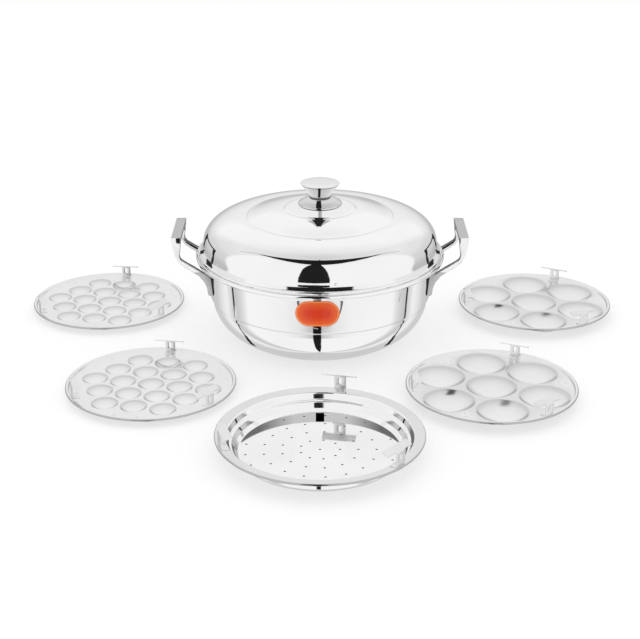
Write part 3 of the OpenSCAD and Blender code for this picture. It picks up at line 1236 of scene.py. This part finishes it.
@dataclass
class Plate:
    """What the five loose plates share: a place, a body and three brackets.

    Attributes:
        label: The first word of its pieces' names.
        body: The body that it moves with.
        node: The node that its sheet stands for.
        centre: Where it lies.
        radius: Its outer radius.
        sheet: Its thickness.
        bracket_turn: The first bracket's direction, in degrees.
        turn: How far the whole plate is turned, in degrees.
        hidden: The bracket that no reflection shows, or 0.
    """

    label: str
    body: str
    node: str
    centre: Point
    radius: float
    sheet: float = 1.2
    bracket_turn: float = 74.0
    turn: float = 0.0
    hidden: int = 0

    def brackets(self, stand_r: float, floor: float, nodes: str, slope: float = 0.0) -> None:
        """Makes the three welded brackets.

        Args:
            stand_r: The distance of their posts from the plate's centre.
            floor: The height that their feet stand on.
            nodes: The names of the nodes that they stand for, with a number.
            slope: How much that floor falls inwards, in degrees.
        """
        name = self.label + "_bracket_steel"
        finish = Steel(name, Grain.PRESSED, (0.78, 0.78, 0.785), (0.28, 0.36), 300.0).material()
        maker = Bracket(2 * self.radius, self.sheet)
        for k in range(1, 4):
            turn = self.bracket_turn + self.turn + 120 * (k - 1)
            piece = maker.build(f"{self.label}_stand_{k}", self.centre, turn, stand_r, floor, slope)
            dress(piece, finish)
            hand_over(piece, self.body, nodes.format(k), mirrored=k != self.hidden)

    def shade_holes(self, piece: Piece, top: float, reach: float) -> None:
        """Paints shade on the walls of the holes that go through a sheet with a near-black steel.

        Args:
            piece: The sheet.
            top: The height of its level top.
            reach: How far the holes lie from the plate's centre.
        """
        steel = Steel(self.label + "_hole_steel", Grain.CAST, (0.10,) * 3, (0.4, 0.6), 300.0)
        piece.data.materials.append(steel.material())
        middle = Vector(self.centre) * MM
        for face in piece.data.polygons:
            inside = (top - self.sheet) * MM < face.center.z < top * MM
            if inside and abs(face.normal.z) < 0.1 and (face.center.xy - middle).length < reach * MM:
                face.material_index = len(piece.data.materials) - 1

    def shade_rim(self, piece: Piece, width: float = 1.7, tone: float = 0.5) -> None:
        """Paints shade on the outermost band of a sheet with a darker steel of its own.

        Args:
            piece: The sheet.
            width: The band's width in millimetres.
            tone: The metal's reflectance there.
        """
        name = f"{self.label}_rim_{round(width)}_steel"
        steel = Steel(name, Grain.TURNED, (tone,) * 3, (0.03, 0.06), centre=self.centre)
        piece.data.materials.append(steel.material())
        middle = Vector(self.centre) * MM
        for face in piece.data.polygons:
            if (face.center.xy - middle).length > (self.radius - width) * MM:
                face.material_index = len(piece.data.materials) - 1

    def fill_web(self, work: Mesh, z: float, holes: Iterable[Point], hole_r: float) -> None:
        """Fills the level web of a sheet round its holes and gives the sheet its wall.

        Args:
            work: The sheet's upper side without its web.
            z: The height of the web's top.
            holes: The centres of the web's round holes.
            hole_r: Their radius.
        """
        bmesh.ops.remove_doubles(work, verts=work.verts, dist=NEAR)
        edges = [
            edge for edge in work.edges
            if edge.is_boundary and all(abs(vert.co.z - z * MM) < NEAR / 10 for vert in edge.verts)
        ]
        for spot in holes:
            edges += add_circle(work, spot, hole_r, z, 16)
        bmesh.ops.triangle_fill(work, edges=edges, use_beauty=True, normal=UP)
        face_towards(work, UP)
        add_wall(work, self.sheet)


@dataclass
class SteamingPan(Plate):
    """The deep pan with rings of steam holes in its floor.

    Attributes:
        depth: The height of its rim.
        rim_w: The width of its flange.
        floor_r: The radius of its floor.
        hole_r: The steam holes' radius.
        pitch: The distance between their rings.
        rings: The number of rings round the hole in the middle.
    """

    depth: float = 23.0
    rim_w: float = 13.0
    floor_r: float = 90.0
    hole_r: float = 1.4
    pitch: float = 20.3
    rings: int = 4

    def holes(self) -> list[Point]:
        """Lays out the steam holes.

        Returns:
            Their centres.
        """
        spots = [self.centre]
        for k in range(1, self.rings + 1):
            count, reach = 4 * k + 5, self.pitch * k + 2
            spots += [polar(reach, 360 * i / count, self.centre) for i in range(count)]
        return spots

    def build(self) -> None:
        """Makes the pan's sheet and its brackets."""
        wall, t, r = self.radius - self.rim_w, self.sheet, self.floor_r
        corners = [
            (r - 0.5, t), (r + 1.2, t), (r + 4.9, 5.4), (r + 7.6, 12.2), (wall - 3.4, 13.2),
            (wall - 2.6, 14.4), (wall - 0.6, 19.8), (wall + 0.4, 21.2), (self.radius - 1.4, self.depth - 0.3),
        ]
        side = soften(corners, 2.6, 6)
        roll = arc((self.radius - 1.35, self.depth - 1.65), 1.35, 80, -110, 10)
        work = bmesh.new()
        spin(work, [(r - 1.0, t), *side, *roll], self.centre)
        self.fill_web(work, t, self.holes(), self.hole_r)
        piece = finished("steaming_pan_sheet", work)
        steel = Steel("pan_steel", Grain.TURNED, roughness=(0.03, 0.08), centre=self.centre)
        dress(piece, steel.material())
        # Painted shade: a darker steel over the whole flange, then a darker band at its rolled edge.
        self.shade_rim(piece, self.rim_w - 0.6, 0.76)
        self.shade_rim(piece, 1.2)
        self.shade_holes(piece, t, r - 2)
        hand_over(piece, self.body, self.node, mirrored=False)
        flange = Vector(corners[-1]) - Vector(corners[-2])
        slope = math.degrees(math.atan2(flange.y, flange.x))
        self.brackets(self.radius - 2.5, self.depth - 1.6 + t, "pan_bracket_{}", slope)


@dataclass
class DimpledPlate(Plate):
    """A flat plate with round cavities pressed into it.

    Attributes:
        places: The cavities' centres from the plate's centre.
        cavity_r: The radius of a cavity.
        cavity_depth: Its depth.
        edge_holes: The small holes' centres from the plate's centre.
        pinholes: The number of pinholes round the middle one, or 0 for none at all.
        cavity_steps: The number of faces round a cavity.
        edge_h: How far the rolled rim stands above the web.
        edge_hole_r: The small holes' radius.
        pin_r: The pinholes' radius.
        pin_ring: The radius of their ring.
        drawn: The painted shade round each cavity's lip, with a slight painted lightening in its middle, as
            the reflectance's scale by distance from a cavity's middle, in radii.
    """

    places: list[Point] = field(default_factory=list)
    cavity_r: float = 30.8
    cavity_depth: float = 12.0
    edge_holes: list[Point] = field(default_factory=list)
    pinholes: int = 0
    cavity_steps: int = 72
    edge_h: float = 3.0
    edge_hole_r: float = 1.8
    pin_r: float = 0.8
    pin_ring: float = 10.0
    drawn: Curve = (
        (0, 1.06), (0.5, 1.03), (0.75, 0.95), (0.9, 0.82), (0.95, 0.72), (1.02, 0.84), (1.06, 1.0),
        (99, 1.0),
    )

    @property
    def floor(self) -> float:
        """Height of the flat web's top."""
        return self.cavity_depth + self.sheet

    def cavity_profile(self) -> list[Point]:
        """Draws a cavity.

        Returns:
            Its outline from its lip to its middle.
        """
        ball = (self.cavity_r**2 + self.cavity_depth**2) / (2 * self.cavity_depth)
        middle = self.floor - self.cavity_depth + ball

        def bowl_at(r: float) -> Point:
            """Returns the point of the cavity's ball at a radius."""
            return (r, middle - math.sqrt(ball**2 - r**2))

        edge, floor = self.cavity_r, self.floor
        first = edge - 2.2
        lip = [(edge + 1.0, floor), *bend((edge + 0.8, floor), (edge - 0.1, floor), bowl_at(first), 7)]
        radii = [first * (1 - i / 9) for i in range(1, 6 if self.pinholes else 9)]
        radii += [11.6, 10.9, self.pin_ring, 9.1, 8.4, 6.0, 3.4, self.pin_r] if self.pinholes else [0.0]
        return lip + [bowl_at(r) for r in radii]

    def mark_draw(self, piece: Piece, name: str) -> None:
        """Records the painted shade near each cavity's lip and the slight painted lightening in its middle.

        Args:
            piece: The plate's sheet.
            name: The name of the point attribute that keeps it.
        """
        cx, cy = self.centre
        spots = [Vector((cx + x, cy + y)) for x, y in self.places]
        share = piece.data.attributes.new(name, "FLOAT", "POINT")
        for vert in piece.data.vertices:
            here = vert.co.xy / MM
            reach = min((here - spot).length for spot in spots) / self.cavity_r
            share.data[vert.index].value = next(
                low + (high - low) * (reach - near) / (far - near)
                for (near, low), (far, high) in zip(self.drawn, self.drawn[1:])
                if reach <= far
            )

    def pierce(self, work: Mesh, centre: Point) -> None:
        """Opens the ring of round pinholes in one cavity.

        Args:
            work: The cavity's mesh.
            centre: The cavity's centre.
        """
        for i in range(self.pinholes):
            spot = Vector(polar(self.pin_ring, 360 * i / self.pinholes + self.turn, centre)) * MM
            vert = min(work.verts, key=lambda v: (v.co.xy - spot).length)
            for other in {v for face in vert.link_faces for v in face.verts} - {vert}:
                other.co.xy = vert.co.xy + (other.co.xy - vert.co.xy).normalized() * self.pin_r * MM
            bmesh.ops.delete(work, geom=[vert], context="VERTS")

    def build(self) -> None:
        """Makes the plate's sheet and its brackets."""
        z, r = self.floor, self.radius
        high = z + self.edge_h
        rim = soften([(r - 5.25, z), (r - 4.9, z), (r - 3.6, high), (r - 1.4, high)], 1.0)
        roll = arc((r - 1.4, high - 1.4), 1.4, 80, -100, 10)
        cx, cy = self.centre
        work = bmesh.new()
        for x, y in self.places:
            spot = (cx + x, cy + y)
            cavity = bmesh.new()
            spin(cavity, self.cavity_profile(), spot, self.cavity_steps)
            bmesh.ops.remove_doubles(cavity, verts=cavity.verts, dist=NEAR)
            self.pierce(cavity, spot)
            mesh = bpy.data.meshes.new("cavity")
            cavity.to_mesh(mesh)
            cavity.free()
            work.from_mesh(mesh)
            bpy.data.meshes.remove(mesh)
        spin(work, [(r - 5.3, z), *rim, *roll], self.centre, 160)
        self.fill_web(work, z, [(cx + x, cy + y) for x, y in self.edge_holes], self.edge_hole_r)
        piece = finished(self.label + "_sheet", work)
        steel = Steel(
            self.label + "_steel", Grain.PRESSED, (0.82,) * 3, (0.13, 0.20), 90.0, 0.02, self.centre, "drawn"
        )
        # Painted shade round each cavity's lip: this point attribute scales the steel's reflectance.
        self.mark_draw(piece, steel.worn)
        dress(piece, steel.material())
        # Painted shade: a dark thin band round the rolled rim.
        self.shade_rim(piece)
        hand_over(piece, self.body, self.node, mirrored=False)
        self.brackets(r - 6, z, self.label + "_bracket_{}")


@dataclass
class PlateSet:
    """Places the five loose plates round the pot.

    Attributes:
        plate_r: The radius of the four small plates.
        idli_turn: The turn of the idli cavities on their plate, in degrees.
        mini_turn: The turn of the mini-idli cavities on their plate.
        idli_ring: The radius of the ring of idli cavities.
        mini_pitch: The distance between mini-idli cavities.
        pan_at: The steaming pan's centre.
        idli_at: The name, centre and turn of each idli plate.
        mini_at: The same for the mini-idli plates.
    """

    plate_r: float = 103.0
    idli_turn: float = -17.5
    mini_turn: float = -20.5
    idli_ring: float = 65.8
    mini_pitch: float = 36.0
    pan_at: Point = (0, -328)
    idli_at: tuple[tuple[str, Point, float], ...] = (
        ("front", (205.5, -190), -7.8), ("rear", (294, 79), -9.4)
    )
    mini_at: tuple[tuple[str, Point, float], ...] = (
        ("front", (-204.5, -171.5), 7.6), ("rear", (-292, 96), 9.3)
    )

    def idli_places(self, turn: float) -> list[Point]:
        """Returns the seven idli cavities' centres on a plate turned by some degrees."""
        return [(0.0, 0.0), *(polar(self.idli_ring, self.idli_turn + turn + 60 * k) for k in range(6))]

    def mini_places(self, turn: float) -> list[Point]:
        """Lays out the nineteen mini-idli cavities in a hexagon.

        Args:
            turn: The plate's turn in degrees.

        Returns:
            Their centres.
        """
        places = []
        for row in range(-2, 3):
            for i in range(5 - abs(row)):
                x = (i - 2 + abs(row) / 2) * self.mini_pitch
                y = row * self.mini_pitch * math.sin(math.radians(60))
                angle = self.mini_turn + turn + math.degrees(math.atan2(y, x))
                places.append(polar(math.hypot(x, y), angle))
        return places

    def idli_holes(self, turn: float) -> list[Point]:
        """Lays out the three clusters of three holes near an idli plate's edge.

        Args:
            turn: The plate's turn in degrees.

        Returns:
            Their centres.
        """
        angles = [self.idli_turn + turn + 30 + 120 * k for k in range(3)]
        return [polar(5, angle + 120 * i, polar(85, angle)) for angle in angles for i in range(3)]

    def mini_holes(self, turn: float) -> list[Point]:
        """Lays out the three pairs of holes near a mini-idli plate's edge.

        Args:
            turn: The plate's turn in degrees.

        Returns:
            Their centres.
        """
        angles = [self.mini_turn + turn + 30 + 120 * k for k in range(3)]
        return [polar(91, angle + side * 8.5) for angle in angles for side in (-1, 1)]

    def build(self) -> None:
        """Makes all five plates."""
        SteamingPan(
            "steaming_pan", "pan", "steaming_pan", self.pan_at, 117.0, bracket_turn=78.0
        ).build()
        for end, centre, turn in self.idli_at:
            DimpledPlate(
                f"idli_{end}", f"idli_{end}", f"idli_plate_{end}", centre, self.plate_r,
                turn=turn, pinholes=6, hidden=2,
                places=self.idli_places(turn), edge_holes=self.idli_holes(turn),
            ).build()
        for end, centre, turn in self.mini_at:
            DimpledPlate(
                f"mini_{end}", f"mini_{end}", f"mini_plate_{end}", centre, self.plate_r,
                turn=turn, cavity_r=15.8, cavity_depth=6.5, cavity_steps=48, hidden=3,
                places=self.mini_places(turn), edge_holes=self.mini_holes(turn),
            ).build()


# The studio.


@dataclass
class Studio:
    """White tent, pale floor, the photograph's camera and what reflections show.

    Attributes:
        plates: The loose plates, for the cards that hang over them.
        distance: How far the camera stands from the pot's axis.
        eye: Its height.
        pitch: How far it looks down, in degrees.
        focal: Its focal length in the photograph's pixels.
        picture_w: The photograph's width in pixels.
        sensor: The camera's sensor width.
        floor_glow: The share of plain white that the camera sees in the floor.
        middle: From where to where, off the middle, a prop's brightness changes.
    """

    plates: PlateSet
    distance: float = 1700.0
    eye: float = 732.75
    pitch: float = 22.746
    focal: float = 1395.0
    picture_w: int = 640
    sensor: float = 36.0
    floor_glow: float = 0.55
    middle: Point = (30.0, 70.0)

    def camera(self) -> None:
        """Places the camera at the photograph's viewpoint."""
        data = bpy.data.cameras.new("camera")
        data.sensor_width = self.sensor
        data.lens = self.focal * self.sensor / self.picture_w
        data.clip_start, data.clip_end = 0.05, 60.0
        eye = bpy.data.objects.new("camera", data)
        eye.location = Vector((0, -self.distance, self.eye)) * MM
        eye.rotation_euler = (math.radians(90 - self.pitch), 0, 0)
        bpy.context.scene.collection.objects.link(eye)
        bpy.context.scene.camera = eye

    def floor(self) -> None:
        """Lays the pale floor, which keeps the soft shadows."""
        work = bmesh.new()
        bmesh.ops.create_grid(work, x_segments=1, y_segments=1, size=20.0)
        piece = finished("floor", work, outwards=False)
        made, wiring = wired("floor_white")
        matt = wiring.tree.nodes["Principled BSDF"]
        white = (0.98, 0.98, 0.98, 1.0)
        wiring.feed(matt, {"Base Color": white, "Roughness": 1.0, "Specular IOR Level": 0.0})
        share = wiring.read("LightPath", "Is Camera Ray") * self.floor_glow
        surface = wiring.mix(share, Signal(wiring, matt.outputs[0]), wiring.read("Emission", 0))
        wiring.feed(wiring.tree.nodes["Material Output"], {"Surface": surface})
        dress(piece, made)
        piece.visible_glossy = False

    def lights(self) -> None:
        """Hangs one broad soft lamp over the object."""
        data = bpy.data.lights.new("top_light", "AREA")
        data.shape = "DISK"
        data.size = 2.4
        data.energy = 4.0
        lamp = bpy.data.objects.new("top_light", data)
        lamp.location = (0.0, -0.2, 2.2)
        lamp.visible_glossy = False
        bpy.context.scene.collection.objects.link(lamp)

    def prop(self, name: str, work: Mesh, level: float, aside: float, mark: float = 0.0) -> None:
        """Stages a one-sided glowing surface that only reflections show.

        Args:
            name: Its name.
            work: Its mesh, whose faces' front sides are seen.
            level: Its brightness in the middle.
            aside: Its brightness far to the left and right.
            mark: Half the width of a dark mark in its middle, in millimetres.
        """
        piece = finished(name, work, outwards=False)
        made, wiring = wired(name)
        wiring.tree.nodes.clear()
        edge = abs(wiring.split(wiring.read("TexCoord", "Object"))[0])
        ends = (self.middle[0] * MM, self.middle[1] * MM)
        glow = wiring.span(edge, ends, (level, aside)) * edge.maths("GREATER_THAN", mark * MM)
        front = wiring.read("Emission", 0, {"Strength": glow})
        behind = wiring.read("NewGeometry", "Backfacing")
        surface = wiring.mix(behind, front, wiring.read("BsdfTransparent", 0))
        wiring.add("OutputMaterial", {"Surface": surface})
        dress(piece, made)
        piece.visible_camera = False
        piece.visible_diffuse = False
        piece.visible_shadow = False
        piece.visible_transmission = False

    def card(self, name: str, corners: Iterable[Place], faces: Place, level: float = 0.98) -> None:
        """Hangs a flat card.

        Args:
            name: Its name.
            corners: Its corners in millimetres.
            faces: The direction that its seen side faces.
            level: Its brightness.
        """
        work = bmesh.new()
        face = work.faces.new([work.verts.new(Vector(corner) * MM) for corner in corners])
        face.normal_update()
        if face.normal.dot(Vector(faces)) < 0:
            face.normal_flip()
        self.prop(name, work, level, level)

    def cards(self) -> None:
        """Hangs the cards that keep the plates pale and the pan clear of the pot."""
        for name, (x0, y0), (x1, y1), z in (
            ("card_mini_front", (-500, -480), (-30, 20), 62),
            ("card_mini_rear", (-570, -300), (-130, 340), 63),
            ("card_idli_front", (30, -480), (500, 20), 62),
            ("card_idli_rear", (130, -300), (570, 340), 63),
        ):
            self.card(name, [(x0, y0, z), (x0, y1, z), (x1, y1, z), (x1, y0, z)], DOWN, 0.96)
        tall = [(-280, -166, 45), (280, -166, 45), (280, -166, 260), (-280, -166, 260)]
        self.card("card_pot", tall, (0, -1, 0))
        for side, near, far in ((-1, 0, 14), (1, 0, 28)):
            wedge = [(near, -262), (near, -285), (far, -450), (80, -450), (80, -262)]
            self.card(f"card_pan_{side + 2}", [(side * x, y, 52) for x, y in wedge], DOWN)

    def marks(self) -> None:
        """Hangs the small dark cards round the knob and over the front idli cavities."""
        for name, level, faces, (y0, z0), (y1, z1), xs in (
            ("card_spike", 0.02, DOWN, (-34, 180), (-57, 180), (-10, 7, 1.0, -4.0)),
            ("card_veil", 0.5, DOWN, (-34, 180.5), (-58, 180.5), (-17, 14, 1.5, -4.5)),
            ("card_cap", 0.02, UP, (-12.6, 190.6), (-27, 185.6), (-3.2, 0.4, 2.2, -5)),
            ("card_foot", 0.02, DOWN, (-12.6, 190.3), (-27, 185.3), (-4.4, 1.2, 2.2, -5.6)),
        ):
            edges = ((y0, z0), (y0, z0), (y1, z1), (y1, z1))
            self.card(name, [(x, *edge) for x, edge in zip(xs, edges)], faces, level)
        for end, (x, y), turn in self.plates.idli_at:
            for k, (dx, dy) in enumerate(self.plates.idli_places(turn)[5:]):
                mark = [(-7.5, 14.5), (2, 14.5), (7, 24.5), (-3, 24.5)]
                spots = [(x + dx + mx, y + dy + my, 60) for mx, my in mark]
                self.card(f"card_mark_{end}_{k}", spots, DOWN, 0.02)

    def echo(self) -> None:
        """Stages the pan's rear wall for the pan's own floor to mirror."""
        work = bmesh.new()
        profile = [(90.3, 1.0), (95.2, 5.2), (97.9, 11.9), (100.9, 12.9), (103.7, 19.8)]
        centre = self.plates.pan_at
        edges = add_outline(work, [(*polar(r, -15, centre), z) for r, z in profile])
        turn_round(work, edges, centre, 210, 84)
        face_towards(work, UP)
        self.prop("pan_echo", work, 0.62, 0.16, 5.0)

    def handle_echo(self, handle: Piece) -> None:
        """Stages a dark twin of a handle for the pot and the lid to mirror.

        Args:
            handle: The handle, which no reflection shows from then on.
        """
        work = bmesh.new()
        work.from_mesh(handle.data)
        for vert in work.verts:
            vert.co -= vert.normal * 0.3 * MM
        self.prop(handle.name + "_echo", work, 0.03, 0.03)
        handle.visible_glossy = False

    def tent(self) -> None:
        """Builds the tent's light: white panels with dark gaps between them."""
        world = bpy.data.worlds.new("tent")
        world.use_nodes = True
        bpy.context.scene.world = world
        TentShader().build(Wiring(world.node_tree))


@dataclass
class TentShader:
    """World nodes of a white tent as the steel shows it.

    Azimuths are in degrees from the front and elevations from the horizon.

    Attributes:
        gap: The half-width by elevation of the tent's opening at the front.
        gap_aside: How far to the left its middle is, by elevation.
        shade: The brightness beside the opening, by degrees from its middle.
        seam: The height above the nadir by azimuth of the seam round the sides.
        low: The brightness by azimuth below the horizon.
        front: The brightness by elevation at the front.
        side: The same at the sides.
        rear: The same at the rear.
    """

    gap: Curve = (
        (-90, 8.0), (-60, 5.0), (-30, 4.5), (-22.6, 4.5), (-22, 0.0), (-19.6, 0.0), (-19, 15.2),
        (-3, 14.6), (8, 13.9), (26, 13.4), (46, 13.0), (58, 11.6), (68, 8.0), (90, 7.0),
    )
    gap_aside: Curve = (
        (-90, 3.6), (-22, 3.0), (-19, 6.0), (-10, 5.6), (26, 5.6), (46, 6.6), (60, 7.2), (90, 5.2),
    )
    shade: Curve = ((0, 0.62), (7, 0.62), (18, 0.866), (35, 0.972), (60, 1.0), (190, 1.0))
    seam: Curve = (
        (0, 59.0), (103, 59.0), (108, 53.0), (114, 47.0), (122, 42.5), (136, 41.0), (151, 43.0),
        (160, 47.0), (180, 60.0),
    )
    low: Curve = (
        (0, 0.913), (82, 0.913), (90, 0.70), (99, 0.565), (103, 0.60), (108, 0.70), (115, 0.871),
        (124, 0.78), (137, 0.597), (165, 0.58), (180, 0.58),
    )
    front: Curve = ((-90, 0.913), (50, 0.913), (60, 0.90), (75, 0.83), (90, 0.66))
    side: Curve = (
        (-90, 0.50), (-20, 0.50), (-5, 0.63), (5, 0.665), (15, 0.68), (25, 0.76), (35, 0.78),
        (45, 0.82), (90, 0.66),
    )
    rear: Curve = (
        (-90, 0.44), (-20, 0.44), (0, 0.52), (5, 0.65), (12, 0.776), (18, 0.84), (22, 0.915),
        (40, 0.915), (46, 0.88), (57, 0.84), (66, 0.78), (74, 0.694), (90, 0.62),
    )

    def panels(self, azimuth: Signal, height: Signal) -> Signal:
        """Lights the tent's cloth.

        Args:
            azimuth: Degrees from the front, either way.
            height: Degrees above the horizon.

        Returns:
            Its brightness.
        """
        front, side, rear = (height.curve(wall, -90, 90, 1.0) for wall in (self.front, self.side, self.rear))
        walls = azimuth.within(101, 400, 3).blend(front, azimuth.within(145, 400, 10).blend(side, rear))
        return height.within(-23, 400, 3).blend(azimuth.curve(self.low, 0, 180, 1.0), walls)

    def opening(self, turn: Signal, height: Signal) -> tuple[Signal, Signal]:
        """Cuts the dark opening at the front.

        Args:
            turn: Degrees from the front, with a sign.
            height: Degrees above the horizon.

        Returns:
            The opening's mask and the brightness beside it.
        """
        aside = abs(turn + height.curve(self.gap_aside, -90, 90, 10))
        past = aside - height.curve(self.gap, -90, 90, 20)
        beside = height.within(-36, -22.5, 1.5).blend(1.0, aside.curve(self.shade, 0, 190, 1.0))
        return past.within(-400, 0, 0.5), beside

    def slot(self, x: Signal, y: Signal, z: Signal) -> Signal:
        """Cuts the dark slot overhead with its thin grey ends.

        Args:
            x: The direction's part to the right.
            y: Its part to the rear.
            z: Its part upwards.

        Returns:
            The slot's mask.
        """
        rise = z.maths("MAXIMUM", 0.02)
        front, side = y * -1.0 / rise, abs(x / rise)
        square = side * side
        behind = front - (0.05 - square * 0.9)
        ahead = 0.44 - square * 1.9 - front
        body = behind.maths("MINIMUM", ahead).within(0, 90, 0.012)
        line = front + (side * 0.4 + 0.042)
        tail = line.within(-0.02, 0.02, 0.01) * side.within(0.58, 1.0, 0.06)
        return body.maths("MAXIMUM", tail * 0.45) * z.within(0.1, 2, 0.02)

    def seams(self, azimuth: Signal, height: Signal) -> Signal:
        """Draws the dark seam round the tent's sides.

        Args:
            azimuth: Degrees from the front, either way.
            height: Degrees above the horizon.

        Returns:
            The seam's mask.
        """
        post = azimuth.within(101.7, 104.3, 0.4) * height.within(-33, -22, 1)
        drop = height + 90 - azimuth.curve(self.seam, 0, 180, 90)
        line = drop.within(-1.3, 1.3, 0.4) * azimuth.within(102.5, 160, 2.0)
        return post.maths("MAXIMUM", line)

    def build(self, wiring: Wiring) -> None:
        """Wires the whole world.

        Args:
            wiring: The world's wiring.
        """
        wiring.tree.nodes.clear()
        x, y, z = wiring.split(wiring.read("TexCoord", "Generated"))
        turn = x.maths("ARCTAN2", y * -1.0).maths("DEGREES")
        height = z.maths("ARCSINE").maths("DEGREES")
        azimuth = abs(turn)
        gap, beside = self.opening(turn, height)
        dark = gap.maths("MAXIMUM", self.slot(x, y, z).maths("MAXIMUM", self.seams(azimuth, height)))
        seen = self.panels(azimuth, height) * beside * (1.0 - dark * 0.985)
        tent = wiring.read("Background", 0, {"Color": seen, "Strength": 1.11})
        plain = wiring.read("Background", 0, {"Color": (1.0, 1.0, 1.0, 1.0), "Strength": 1.0})
        surface = wiring.mix(wiring.read("LightPath", "Is Glossy Ray"), plain, tent)
        wiring.add("OutputWorld", {"Surface": surface})


def main() -> None:
    """Loads the frame, builds every piece and sets the studio."""
    logging.basicConfig(level=logging.INFO, format="%(name)s: %(message)s")
    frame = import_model()

    pot = Pot()
    pot.bowl()
    pot.label()
    handles = [Handle(pot, side).build() for side in (-1, 1)]
    lid = Lid(pot)
    lid.dome()
    lid.knob()
    lid.fasteners(frame)
    plates = PlateSet()
    plates.build()

    studio = Studio(plates)
    studio.camera()
    studio.floor()
    studio.lights()
    studio.tent()
    studio.cards()
    studio.marks()
    studio.echo()
    for handle in handles:
        studio.handle_echo(handle)
    bpy.context.scene.view_settings.view_transform = "Standard"


if __name__ == "__main__":
    main()
